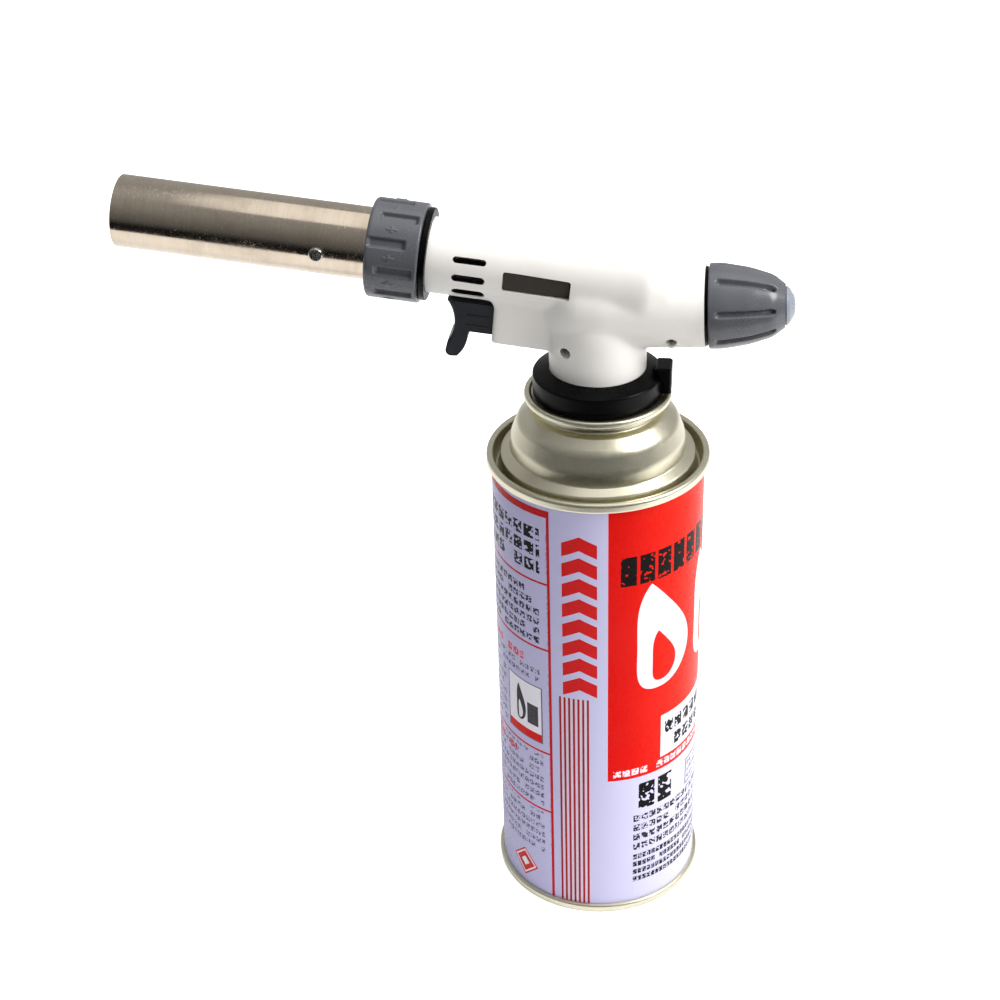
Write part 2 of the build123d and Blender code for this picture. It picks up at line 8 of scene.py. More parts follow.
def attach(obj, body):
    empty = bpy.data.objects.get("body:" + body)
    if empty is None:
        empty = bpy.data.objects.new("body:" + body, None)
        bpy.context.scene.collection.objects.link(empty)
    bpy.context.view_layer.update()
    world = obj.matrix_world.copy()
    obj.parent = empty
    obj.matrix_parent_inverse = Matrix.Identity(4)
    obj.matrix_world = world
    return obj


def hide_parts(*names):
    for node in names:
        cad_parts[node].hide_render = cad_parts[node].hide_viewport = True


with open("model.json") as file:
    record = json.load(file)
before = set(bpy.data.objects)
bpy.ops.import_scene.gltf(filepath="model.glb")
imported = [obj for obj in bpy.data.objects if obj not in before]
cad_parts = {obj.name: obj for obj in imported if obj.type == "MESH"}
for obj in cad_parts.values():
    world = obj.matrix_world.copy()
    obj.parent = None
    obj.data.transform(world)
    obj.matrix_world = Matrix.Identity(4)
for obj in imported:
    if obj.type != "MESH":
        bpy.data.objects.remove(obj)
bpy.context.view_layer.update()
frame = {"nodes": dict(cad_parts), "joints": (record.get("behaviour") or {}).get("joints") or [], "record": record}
nodes = frame["nodes"]
joints = {j["name"]: j for j in frame["joints"]}
MM = 0.001

# Sizes in mm and degrees.
COLLAR_PIVOT = 58.0  # along the tube, where the collar's joint is placed
KNOB_PIVOT = 40.0  # along the knob's axis, where its joint is placed
HOUSING_DROP = 0.8  # the white tube hangs this much below the barrel's axis
BURNER_TILT = 6.27
CAN_RADIUS = 32.5

# Axes of the torch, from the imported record.
forward = Vector(joints["collar_turn"]["axis"]).normalized()
rise = Vector((0, 1, 0)).cross(forward).normalized()
backward = Vector(joints["knob_turn"]["axis"]).normalized()
knob_rise = Vector((0, -1, 0)).cross(backward).normalized()
sideways = Vector((0, 1, 0))
up = Vector((0, 0, 1))
tube_origin = Vector(joints["collar_turn"]["pos_m"]) - forward * COLLAR_PIVOT * MM
knob_origin = Vector(joints["knob_turn"]["pos_m"]) - backward * KNOB_PIVOT * MM
burner_origin = tube_origin + rise * HOUSING_DROP * MM
can_origin = Vector((0, 0, 0))


# ---------------------------------------------------------------- studio: camera, lights, floor
def look(position, direction, upward):
    """Rotation of something that looks along direction with upward towards the top."""
    back = -direction.normalized()
    right = upward.cross(back).normalized()
    return Matrix((right, back.cross(right), back)).transposed().to_4x4(), position


def make_camera():
    camera = bpy.data.cameras.new("studio_camera")
    camera.lens = 67.24
    camera.sensor_width = 36.0
    camera.clip_start = 0.01
    body = bpy.data.objects.new("studio_camera", camera)
    turn, place = look(Vector((0.046686, -0.490397, 0.441512)), Vector((-0.1328, 0.8431, -0.5211)),
                       Vector((-0.04861, 0.51961, 0.85301)))
    body.matrix_world = Matrix.Translation(place) @ turn
    bpy.context.scene.collection.objects.link(body)
    bpy.context.scene.camera = body


def soft_light(name, position, target, width, height, power, colour=(1, 1, 1), glossy=True):
    lamp = bpy.data.lights.new(name, "AREA")
    lamp.shape = "RECTANGLE"
    lamp.size, lamp.size_y = width, height
    lamp.energy = power
    lamp.color = colour
    body = bpy.data.objects.new(name, lamp)
    turn, place = look(Vector(position), Vector(target) - Vector(position), up)
    body.matrix_world = Matrix.Translation(place) @ turn
    body.visible_glossy = glossy
    bpy.context.scene.collection.objects.link(body)


# ---------------------------------------------------------------- node helpers
def srgb(red, green, blue):
    """A screen colour, 0 to 255 each, as scene-linear."""
    def linear(c):
        c /= 255.0
        return c / 12.92 if c <= 0.04045 else ((c + 0.055) / 1.055) ** 2.4
    return (linear(red), linear(green), linear(blue), 1.0)


def put(tree, kind, settings=None, wires=None):
    """Add a node; wires maps an input's name or index to a value or to a socket."""
    node = tree.nodes.new(kind)
    for key, value in (settings or {}).items():
        setattr(node, key, value)
    for key, value in (wires or {}).items():
        if isinstance(value, bpy.types.NodeSocket):
            tree.links.new(value, node.inputs[key])
        else:
            node.inputs[key].default_value = value
    return node


def calc(tree, operation, *values):
    return put(tree, "ShaderNodeMath", {"operation": operation}, dict(enumerate(values))).outputs[0]


def spread(tree, value, low, high, out_low, out_high):
    """Map one range onto another, held at its ends."""
    return put(tree, "ShaderNodeMapRange", None,
               {"Value": value, "From Min": low, "From Max": high, "To Min": out_low, "To Max": out_high}).outputs[0]


def blend_colour(tree, mask, under, over):
    node = put(tree, "ShaderNodeMix", {"data_type": "RGBA", "blend_type": "MIX"})
    for index, value in ((0, mask), (6, under), (7, over)):
        if isinstance(value, bpy.types.NodeSocket):
            tree.links.new(value, node.inputs[index])
        else:
            node.inputs[index].default_value = value
    return node.outputs[2]


def begin_group(name, inputs, outputs):
    group = bpy.data.node_groups.new(name, "ShaderNodeTree")
    for label, kind, value in inputs:
        socket = group.interface.new_socket(name=label, in_out="INPUT", socket_type="NodeSocket" + kind)
        if value is not None:
            socket.default_value = value
    for label, kind in outputs:
        group.interface.new_socket(name=label, in_out="OUTPUT", socket_type="NodeSocket" + kind)
    return group, group.nodes.new("NodeGroupInput").outputs, group.nodes.new("NodeGroupOutput").inputs


def use(tree, group, **wires):
    return put(tree, "ShaderNodeGroup", {"node_tree": group},
               {key.replace("_", " "): value for key, value in wires.items()}).outputs


def object_place(tree):
    return put(tree, "ShaderNodeTexCoord").outputs["Object"]


# ---------------------------------------------------------------- shared effects
def make_moulded_grain():
    """Fine spark-eroded mould texture with slow unevenness in tone and gloss."""
    group, given, result = begin_group(
        "moulded_grain", [("Place", "Vector", None), ("Grain Size", "Float", 0.4), ("Unevenness", "Float", 12.0)],
        [("Height", "Float"), ("Tone", "Float"), ("Gloss", "Float")])
    fineness = calc(group, "DIVIDE", 1000.0, given["Grain Size"])
    fine = put(group, "ShaderNodeTexNoise", None, {"Vector": given["Place"], "Scale": fineness, "Detail": 3.0,
                                                   "Roughness": 0.6}).outputs["Fac"]
    pits = put(group, "ShaderNodeTexVoronoi", None, {"Vector": given["Place"],
                                                     "Scale": calc(group, "MULTIPLY", fineness, 0.6)})
    slow = put(group, "ShaderNodeTexNoise", None, {"Vector": given["Place"],
                                                   "Scale": calc(group, "DIVIDE", 1000.0, given["Unevenness"]),
                                                   "Detail": 4.0, "Roughness": 0.55}).outputs["Fac"]
    group.links.new(calc(group, "ADD", fine, calc(group, "MULTIPLY", pits.outputs["Distance"], 0.4)),
                    result["Height"])
    group.links.new(spread(group, slow, 0.3, 0.7, 0.0, 1.0), result["Tone"])
    group.links.new(spread(group, calc(group, "ADD", slow, calc(group, "MULTIPLY", fine, 0.5)), 0.45, 1.05, 0.0, 1.0),
                    result["Gloss"])
    return group


def make_drawn_lines():
    """Fine lines left along a drawn or polished tube, with small scuffs across them."""
    group, given, result = begin_group(
        "drawn_lines", [("Place", "Vector", None), ("Tilt", "Float", 0.0), ("Line Width", "Float", 0.35),
                        ("Line Length", "Float", 30.0)],
        [("Height", "Float"), ("Tone", "Float"), ("Scuff", "Float")])
    turned = put(group, "ShaderNodeVectorRotate", {"rotation_type": "Y_AXIS"},
                 {"Vector": given["Place"], "Angle": given["Tilt"]}).outputs[0]
    across = calc(group, "DIVIDE", 1000.0, given["Line Width"])
    along = calc(group, "DIVIDE", 1000.0, given["Line Length"])
    sizes = put(group, "ShaderNodeCombineXYZ", None, {"X": along, "Y": across, "Z": across}).outputs[0]
    stretched = put(group, "ShaderNodeVectorMath", {"operation": "MULTIPLY"}, {0: turned, 1: sizes}).outputs[0]
    lines = put(group, "ShaderNodeTexNoise", None, {"Vector": stretched, "Scale": 1.0, "Detail": 4.0,
                                                    "Roughness": 0.7}).outputs["Fac"]
    scuffs = put(group, "ShaderNodeTexNoise", None, {"Vector": given["Place"], "Scale": 240.0, "Detail": 6.0,
                                                     "Roughness": 0.75}).outputs["Fac"]
    group.links.new(lines, result["Height"])
    group.links.new(spread(group, lines, 0.25, 0.75, 0.0, 1.0), result["Tone"])
    group.links.new(spread(group, scuffs, 0.52, 0.78, 0.0, 1.0), result["Scuff"])
    return group


def make_dust_and_corner_shade():
    """Painted shade in corners and creases, found by ambient occlusion, broken up by patches of handling marks and
    settled dust; thin on open faces.
    """
    group, given, result = begin_group(
        "dust_and_corner_shade", [("Place", "Vector", None), ("Reach", "Float", 3.0), ("Patchiness", "Float", 0.5)], [("Mask", "Float")])
    corner = put(group, "ShaderNodeAmbientOcclusion", {"samples": 4, "only_local": True},
                 {"Distance": calc(group, "MULTIPLY", given["Reach"], MM)}).outputs["AO"]
    patches = put(group, "ShaderNodeTexNoise", None, {"Vector": given["Place"], "Scale": 160.0, "Detail": 5.0,
                                                      "Roughness": 0.65}).outputs["Fac"]
    closed = spread(group, corner, 0.25, 0.85, 1.0, 0.0)
    uneven = spread(group, patches, calc(group, "MULTIPLY", given["Patchiness"], 0.8), 0.8, 0.0, 1.0)
    group.links.new(calc(group, "MULTIPLY", closed, calc(group, "ADD", 0.4, uneven)), result["Mask"])
    return group


def make_print_place():
    """Where a point is on the printed sheet: mm round the cartridge from its front, and mm up."""
    group, given, result = begin_group(
        "print_place", [("Place", "Vector", None)],
        [("Around", "Float"), ("Height", "Float"), ("Column", "Float"), ("Panel", "Float")])
    split = put(group, "ShaderNodeSeparateXYZ", None, {"Vector": given["Place"]}).outputs
    turn = calc(group, "MULTIPLY", calc(group, "ARCTAN2", split["X"], calc(group, "MULTIPLY", split["Y"], -1.0)),
                CAN_RADIUS)
    around = calc(group, "WRAP", turn, arc(170), arc(-190))
    height = calc(group, "MULTIPLY", split["Z"], 1000.0)
    far = calc(group, "GREATER_THAN", around, arc(120))
    column = calc(group, "SUBTRACT", around, calc(group, "MULTIPLY", far, arc(159.5)))
    group.links.new(around, result["Around"])
    group.links.new(height, result["Height"])
    group.links.new(column, result["Column"])
    group.links.new(calc(group, "WRAP", around, arc(-25), arc(-80)), result["Panel"])
    return group


def make_print_box():
    """A filled rectangle of ink."""
    group, given, result = begin_group(
        "print_box", [("Around", "Float", 0.0), ("Height", "Float", 0.0), ("Left", "Float", 0.0),
                      ("Right", "Float", 1.0),
                      ("Low", "Float", 0.0), ("High", "Float", 1.0)], [("Mask", "Float")])
    sides = calc(group, "MULTIPLY", calc(group, "GREATER_THAN", given["Around"], given["Left"]),
                 calc(group, "LESS_THAN", given["Around"], given["Right"]))
    ends = calc(group, "MULTIPLY", calc(group, "GREATER_THAN", given["Height"], given["Low"]),
                calc(group, "LESS_THAN", given["Height"], given["High"]))
    group.links.new(calc(group, "MULTIPLY", sides, ends), result["Mask"])
    return group


def make_print_rows(print_box):
    """Rows of small nondescript marks inside a box: no letters, only broken blocks."""
    group, given, result = begin_group(
        "print_rows", [("Around", "Float", 0.0), ("Height", "Float", 0.0), ("Left", "Float", 0.0),
                       ("Right", "Float", 1.0),
                       ("Low", "Float", 0.0), ("High", "Float", 1.0), ("Pitch", "Float", 3.0), ("Mark", "Float", 2.0),
                       ("Fill", "Float", 0.65), ("Break", "Float", 0.5)], [("Mask", "Float")])
    inside = use(group, print_box, Around=given["Around"], Height=given["Height"], Left=given["Left"],
                 Right=given["Right"],
                 Low=given["Low"], High=given["High"])["Mask"]
    row = calc(group, "DIVIDE", calc(group, "SUBTRACT", given["Height"], given["Low"]), given["Pitch"])
    mark = calc(group, "DIVIDE", calc(group, "SUBTRACT", given["Around"], given["Left"]), given["Mark"])
    in_row = calc(group, "LESS_THAN", calc(group, "FRACT", row), given["Fill"])
    in_mark = calc(group, "LESS_THAN", calc(group, "FRACT", mark), 0.82)
    cell = put(group, "ShaderNodeCombineXYZ", None, {"X": calc(group, "FLOOR", mark), "Y": calc(group, "FLOOR", row),
                                                     "Z": given["Left"]}).outputs[0]
    chance = put(group, "ShaderNodeTexWhiteNoise", {"noise_dimensions": "3D"}, {"Vector": cell}).outputs["Value"]
    spot = put(group, "ShaderNodeCombineXYZ", None, {"X": calc(group, "DIVIDE", given["Around"], given["Mark"]),
                                                     "Y": calc(group, "DIVIDE", given["Height"], given["Mark"]), "Z": chance}).outputs[0]
    broken = put(group, "ShaderNodeTexNoise", None, {"Vector": spot, "Scale": 3.4, "Detail": 1.0}).outputs["Fac"]
    solid = calc(group, "GREATER_THAN", broken, given["Break"])
    present = calc(group, "GREATER_THAN", chance, 0.06)
    mask = calc(group, "MULTIPLY", calc(group, "MULTIPLY", in_row, in_mark), calc(group, "MULTIPLY", solid, present))
    group.links.new(calc(group, "MULTIPLY", inside, mask), result["Mask"])
    return group


def make_flame_shape():
    """A plain flame outline, pointed at the top and leaning a little."""
    group, given, result = begin_group(
        "flame_shape", [("Around", "Float", 0.0), ("Height", "Float", 0.0), ("Centre", "Float", 0.0),
                        ("Foot", "Float", 0.0),
                        ("Width", "Float", 10.0), ("Tall", "Float", 30.0)], [("Mask", "Float")])
    level = calc(group, "DIVIDE", calc(group, "SUBTRACT", given["Height"], given["Foot"]), given["Tall"])
    held = calc(group, "MINIMUM", calc(group, "MAXIMUM", level, 0.0001), 0.9999)
    swell = calc(group, "MULTIPLY", calc(group, "POWER", held, 0.42),
                 calc(group, "POWER", calc(group, "SUBTRACT", 1.0, held), 0.85))
    lean = calc(group, "MULTIPLY", calc(group, "SINE", calc(group, "MULTIPLY", held, 4.6)),
                calc(group, "MULTIPLY", given["Width"], 0.13))
    offset = calc(group, "ABSOLUTE", calc(group, "SUBTRACT",
                                          calc(group, "SUBTRACT", given["Around"], given["Centre"]), lean))
    inside = calc(group, "LESS_THAN", offset, calc(group, "MULTIPLY", swell,
                                                   calc(group, "MULTIPLY", given["Width"], 1.05)))
    span = calc(group, "MULTIPLY", calc(group, "GREATER_THAN", level, 0.0), calc(group, "LESS_THAN", level, 1.0))
    group.links.new(calc(group, "MULTIPLY", inside, span), result["Mask"])
    return group


def arc(degrees):
    """Degrees round the cartridge as mm along its wall."""
    return radians(degrees) * CAN_RADIUS


# ---------------------------------------------------------------- materials
def begin_material(name):
    material = bpy.data.materials.new(name)
    material.use_nodes = True
    tree = material.node_tree
    return material, tree, tree.nodes["Principled BSDF"]


def bump(tree, skin, height, strength, distance):
    normal = put(tree, "ShaderNodeBump", None, {"Strength": strength, "Distance": distance * MM,
                                                "Height": height}).outputs[0]
    tree.links.new(normal, skin.inputs["Normal"])


DUST_AND_SHADE_TINT = (0.56, 0.528, 0.48)  # how far dust and painted corner shade darken a plastic in its corners


def moulded(name, colour, rough, grain_size=0.45, depth=0.02, drift=0.05, dust_and_shade_amount=0.25, specular=0.5,
            shaded=None):
    """A moulded plastic: its colour drifts a little, its gloss is uneven, and dust with painted shade darkens its
    corners.
    """
    material, tree, skin = begin_material(name)
    place = object_place(tree)
    grain = use(tree, effects["moulded_grain"], Place=place, Grain_Size=grain_size, Unevenness=14.0)
    # dust with painted shade: an ambient-occlusion mask darkens the corners, broken up by dust patches
    dust_and_shade = use(tree, effects["dust_and_corner_shade"], Place=place, Reach=2.5)["Mask"]
    dark = tuple(c * (1 - drift) for c in colour[:3]) + (1.0,)
    light = tuple(min(1.0, c * (1 + drift)) for c in colour[:3]) + (1.0,)
    tone = blend_colour(tree, grain["Tone"], dark, light)
    shade = tuple(c * s for c, s in zip(colour[:3], DUST_AND_SHADE_TINT)) + (1.0,)
    dusted_and_shaded = blend_colour(tree, calc(tree, "MULTIPLY", dust_and_shade, dust_and_shade_amount), tone, shade)
    # painted shade: where the shaded mask says, the colour goes near-black
    if shaded:
        dusted_and_shaded = blend_colour(tree, shaded(tree, place), dusted_and_shaded, srgb(12, 12, 13))
    tree.links.new(dusted_and_shaded, skin.inputs["Base Color"])
    tree.links.new(spread(tree, grain["Gloss"], 0.0, 1.0, rough - 0.06, rough + 0.07), skin.inputs["Roughness"])
    skin.inputs["Specular IOR Level"].default_value = specular
    bump(tree, skin, grain["Height"], 0.35, depth)
    return material


def vent_painted_shade(tree, place):
    """Painted shade behind the vents: a mask of everything within the tube's wall, at the vents only, which the
    plastic paints near-black.
    """
    from_axis = put(tree, "ShaderNodeVectorMath", {"operation": "SUBTRACT"}, {0: place, 1: tube_origin}).outputs[0]
    station = put(tree, "ShaderNodeVectorMath", {"operation": "DOT_PRODUCT"},
                  {0: from_axis, 1: forward}).outputs["Value"]
    reach = put(tree, "ShaderNodeVectorMath", {"operation": "LENGTH"}, {0: from_axis}).outputs["Value"]
    radius = calc(tree, "SQRT", calc(tree, "SUBTRACT", calc(tree, "MULTIPLY", reach, reach),
                                     calc(tree, "MULTIPLY", station, station)))
    within = calc(tree, "MULTIPLY", calc(tree, "GREATER_THAN", station, 30.5 * MM),
                  calc(tree, "LESS_THAN", station, 41.6 * MM))
    return calc(tree, "MULTIPLY", within, calc(tree, "LESS_THAN", radius, 10.72 * MM))


def metal(name, colour, rough, tilt=0.0, line_width=0.4, line_length=25.0, depth=0.01, drift=0.12, scuff=0.12,
          dust_and_shade_amount=0.3):
    """A worked metal: drawn lines, scuffs that dull it, and corners darkened by dust and painted shade."""
    material, tree, skin = begin_material(name)
    place = object_place(tree)
    lines = use(tree, effects["drawn_lines"], Place=place, Tilt=tilt, Line_Width=line_width, Line_Length=line_length)
    # dust with painted shade: an ambient-occlusion mask darkens the corners, broken up by dust patches
    dust_and_shade = use(tree, effects["dust_and_corner_shade"], Place=place, Reach=2.0)["Mask"]
    dark = tuple(c * (1 - drift) for c in colour[:3]) + (1.0,)
    light = tuple(min(1.0, c * (1 + drift * 0.6)) for c in colour[:3]) + (1.0,)
    tone = blend_colour(tree, lines["Tone"], dark, light)
    shade = tuple(c * 0.35 for c in colour[:3]) + (1.0,)
    tree.links.new(blend_colour(tree, calc(tree, "MULTIPLY", dust_and_shade, dust_and_shade_amount), tone, shade),
                   skin.inputs["Base Color"])
    skin.inputs["Metallic"].default_value = 1.0
    dulled = calc(tree, "ADD", calc(tree, "MULTIPLY", lines["Scuff"], scuff),
                  spread(tree, lines["Tone"], 0.0, 1.0, rough - 0.03, rough + 0.05))
    tree.links.new(dulled, skin.inputs["Roughness"])
    bump(tree, skin, lines["Height"], 0.3, depth)
    return material


def barrel_steel():
    """Polished nickel: lines along the tube, specks and smudges in the plating, duller patches."""
    material, tree, skin = begin_material("barrel_steel")
    place = object_place(tree)
    lines = use(tree, effects["drawn_lines"], Place=place, Tilt=burner_turn, Line_Width=14.0, Line_Length=0.9)
    specks = put(tree, "ShaderNodeTexNoise", None, {"Vector": place, "Scale": 1100.0, "Detail": 3.0,
                                                    "Roughness": 0.7}).outputs["Fac"]
    smudges = put(tree, "ShaderNodeTexNoise", None, {"Vector": place, "Scale": 95.0, "Detail": 5.0, "Roughness": 0.6,
                                                     "Distortion": 0.6}).outputs["Fac"]
    tone = blend_colour(tree, lines["Tone"], srgb(206, 192, 174), srgb(218, 205, 187))
    tone = blend_colour(tree, spread(tree, smudges, 0.42, 0.68, 0.0, 0.3), tone, srgb(160, 144, 126))
    tone = blend_colour(tree, spread(tree, specks, 0.60, 0.72, 0.0, 0.5), tone, srgb(240, 234, 226))
    tree.links.new(tone, skin.inputs["Base Color"])
    skin.inputs["Metallic"].default_value = 1.0
    dulled = calc(tree, "ADD", spread(tree, smudges, 0.4, 0.75, 0.12, 0.24),
                  spread(tree, specks, 0.55, 0.75, 0.0, 0.16))
    tree.links.new(dulled, skin.inputs["Roughness"])
    relief = calc(tree, "ADD", calc(tree, "MULTIPLY", lines["Height"], 0.12), calc(tree, "MULTIPLY", specks, 0.6))
    bump(tree, skin, relief, 0.35, 0.008)
    return material


def printed_tin():
    """The cartridge's printed wall: glossy ink on tinplate, every mark a plain shape."""
    material, tree, skin = begin_material("printed_tin")
    place = object_place(tree)
    spot = use(tree, effects["print_place"], Place=place)
    around, height, column, panel = (spot[k] for k in ("Around", "Height", "Column", "Panel"))
    red, rule_red, black, grey = srgb(216, 4, 0), srgb(190, 18, 24), srgb(6, 4, 5), srgb(98, 92, 112)
    white, lavender = srgb(232, 233, 243), srgb(192, 190, 226)
    # painted light: the lavender ground is painted paler, towards white, on the side that faces the key lamp
    ink = {"colour": blend_colour(tree, spread(tree, around, arc(-10), arc(85), 0.0, 0.55), lavender, white)}

    def paint(mask, colour, amount=1.0):
        if amount < 1.0:
            mask = calc(tree, "MULTIPLY", mask, amount)
        ink["colour"] = blend_colour(tree, mask, ink["colour"], colour)

    def box(left, right, low, high, across=around):
        return use(tree, effects["print_box"], Around=across, Height=height, Left=arc(left), Right=arc(right),
                   Low=low, High=high)["Mask"]

    def rows(left, right, low, high, pitch, mark, fill=0.62, broken=0.46, across=around):
        return use(tree, effects["print_rows"], Around=across, Height=height, Left=arc(left), Right=arc(right),
                   Low=low,
                   High=high, Pitch=pitch, Mark=mark, Fill=fill, Break=broken)["Mask"]

    def flame(centre, foot, width, tall, across=around):
        return use(tree, effects["flame_shape"], Around=across, Height=height, Centre=arc(centre), Foot=foot,
                   Width=width, Tall=tall)["Mask"]

    information = calc(tree, "LESS_THAN", around, arc(-22.8))

    def note(mask, colour, amount=1.0):
        paint(calc(tree, "MULTIPLY", mask, information), colour, amount)

    # the information side, three columns of it round the back
    paint(box(-190, -20.9, 151.4, 153.9), rule_red)
    paint(box(-22.6, -20.9, 3, 153.9), rule_red)
    paint(box(-190, -188.2, 3, 153.9), rule_red)
    for rule in (127.4, 103.0, 62.5, 38.6):
        paint(box(-190, -22, rule, rule + 0.75), rule_red)
    note(rows(-78, -27, 131.0, 148.0, 5.8, 4.6, 0.74, 0.44, panel), black)
    note(rows(-78, -28, 105.0, 125.6, 3.5, 2.9, 0.66, 0.45, panel), srgb(52, 46, 66))
    note(rows(-78, -40, 96.0, 100.5, 4.6, 3.3, 0.6, 0.42, panel), red, 0.85)
    note(rows(-78, -28, 90.0, 96.0, 3.0, 2.2, 0.6, 0.48, panel), grey)
    note(box(-55, -27, 66.0, 88.0, panel), srgb(96, 90, 104))
    note(box(-54.2, -27.8, 66.4, 87.6, panel), srgb(236, 234, 244))
    note(flame(-44, 71.5, 4.6, 14.0, panel), srgb(52, 48, 56))
    note(flame(-44, 72.2, 2.2, 7.0, panel), srgb(236, 234, 244))
    note(box(-38, -30, 72.0, 80.0, panel), srgb(70, 66, 74))
    note(box(-54.2, -27.8, 66.4, 69.4, panel), red)
    note(rows(-78, -58, 66.0, 88.0, 3.3, 2.3, 0.6, 0.48, panel), grey)
    note(rows(-78, -27, 40.5, 61.5, 3.3, 2.3, 0.6, 0.48, panel), grey)
    note(rows(-78, -27, 20.5, 37.8, 3.3, 2.3, 0.6, 0.48, panel), grey)
    note(rows(-78, -48, 56.6, 61.0, 5.0, 3.1, 0.62, 0.42, panel), red, 0.85)
    lozenge = calc(tree, "ADD", calc(tree, "ABSOLUTE", calc(tree, "SUBTRACT", panel, arc(-43))),
                   calc(tree, "ABSOLUTE", calc(tree, "SUBTRACT", height, 11.8)))
    note(calc(tree, "LESS_THAN", lozenge, 6.0), srgb(204, 50, 46))
    note(calc(tree, "MULTIPLY", calc(tree, "LESS_THAN", lozenge, 5.2), calc(tree, "GREATER_THAN", lozenge, 4.4)),
         white)
    note(calc(tree, "LESS_THAN", lozenge, 2.0), white)

    # the plain column: a stack of chevrons over seven pinstripes
    out = calc(tree, "ABSOLUTE", calc(tree, "SUBTRACT", column, arc(-4.5)))
    step = calc(tree, "DIVIDE", calc(tree, "ADD", calc(tree, "SUBTRACT", height, 91.0),
                                     calc(tree, "MULTIPLY", out, 0.5)), 7.3)
    chevron = calc(tree, "MULTIPLY", calc(tree, "LESS_THAN", calc(tree, "FRACT", step), 0.66),
                   calc(tree, "LESS_THAN", out, 5.4))
    stack = calc(tree, "MULTIPLY", calc(tree, "GREATER_THAN", step, 0.0), calc(tree, "LESS_THAN", step, 8.0))
    paint(calc(tree, "MULTIPLY", chevron, stack), srgb(206, 26, 28))
    stripe = calc(tree, "FRACT", calc(tree, "DIVIDE", calc(tree, "SUBTRACT", column, arc(-16.4)), arc(2.62)))
    pinstriped = box(-16.4, 1.2, 3.0, 87.4, column)
    paint(pinstriped, srgb(226, 196, 206), 0.6)
    paint(calc(tree, "MULTIPLY", calc(tree, "LESS_THAN", stripe, 0.46), pinstriped), srgb(146, 30, 38))

    # the red face
    # painted light: the red is painted lighter and oranger towards the side that faces the key lamp
    red_painted_lighter = blend_colour(tree, spread(tree, around, arc(20), arc(80), 0.0, 1.0), srgb(214, 8, 2), srgb(230, 36, 8))
    paint(box(10.8, 139, 55.0, 156.5), red_painted_lighter)
    paint(rows(17.5, 131, 129.0, 139.6, 10.8, 6.1, 0.95, 0.36), black)
    paint(flame(40.5, 88.5, 22.5, 39.5), white)
    paint(flame(42.5, 91.0, 10.0, 19.0), red_painted_lighter)
    paint(flame(86.0, 88.5, 22.5, 39.5), white)
    paint(flame(88.0, 91.0, 10.0, 19.0), red_painted_lighter)
    paint(box(43, 128, 59.8, 76.4), white)
    paint(rows(46, 126, 62.0, 74.5, 6.6, 4.4, 0.72, 0.42), black)
    paint(rows(14, 130, 56.2, 58.8, 3.2, 3.0, 0.8, 0.44), white, 0.9)
    paint(rows(29, 56, 41.4, 52.4, 11.2, 7.2, 0.95, 0.42), black)
    paint(calc(tree, "SUBTRACT", box(66, 86, 40.5, 51.0), box(67, 85, 41.1, 50.4)), grey)
    paint(rows(68, 84, 42.2, 50.0, 2.8, 1.8, 0.6, 0.45), grey)
    paint(rows(26, 128, 24.5, 40.2, 4.0, 2.9, 0.66, 0.45), srgb(48, 44, 58))
    paint(rows(26, 118, 10.8, 23.2, 3.2, 1.7, 0.66, 0.4), srgb(26, 22, 30))

    fleck = put(tree, "ShaderNodeTexNoise", None, {"Vector": place, "Scale": 900.0, "Detail": 2.0}).outputs["Fac"]
    drift = put(tree, "ShaderNodeTexNoise", None, {"Vector": place, "Scale": 30.0, "Detail": 4.0}).outputs["Fac"]
    aged = blend_colour(tree, spread(tree, drift, 0.35, 0.7, 0.0, 0.02), ink["colour"], srgb(150, 140, 130))
    tree.links.new(aged, skin.inputs["Base Color"])
    tree.links.new(spread(tree, calc(tree, "ADD", fleck, drift), 0.7, 1.3, 0.22, 0.34), skin.inputs["Roughness"])
    skin.inputs["Specular IOR Level"].default_value = 0.05
    skin.inputs["Coat Weight"].default_value = 0.02
    skin.inputs["Coat Roughness"].default_value = 0.1
    bump(tree, skin, calc(tree, "ADD", drift, calc(tree, "MULTIPLY", fleck, 0.08)), 0.2, 0.05)
    return material


def studio_floor():
    """Pale paper that looks bright itself but throws little light up at the torch."""
    material, tree, skin = begin_material("studio_paper")
    place = object_place(tree)
    grain = use(tree, effects["moulded_grain"], Place=place, Grain_Size=0.8, Unevenness=160.0)
    tree.links.new(blend_colour(tree, grain["Tone"], (0.9, 0.9, 0.9, 1), (0.93, 0.93, 0.93, 1)),
                   skin.inputs["Base Color"])
    skin.inputs["Roughness"].default_value = 0.9
    skin.inputs["Specular IOR Level"].default_value = 0.2
    skin.inputs["Emission Color"].default_value = (1, 1, 1, 1)
    seen = put(tree, "ShaderNodeLightPath").outputs["Is Camera Ray"]
    tree.links.new(spread(tree, seen, 0.0, 1.0, 0.12, 0.9), skin.inputs["Emission Strength"])
    bump(tree, skin, grain["Height"], 0.1, 0.05)
    return material


effects = {"moulded_grain": make_moulded_grain(), "drawn_lines": make_drawn_lines(), "dust_and_corner_shade": make_dust_and_corner_shade(),
           "print_place": make_print_place(), "print_box": make_print_box(), "flame_shape": make_flame_shape()}
effects["print_rows"] = make_print_rows(effects["print_box"])

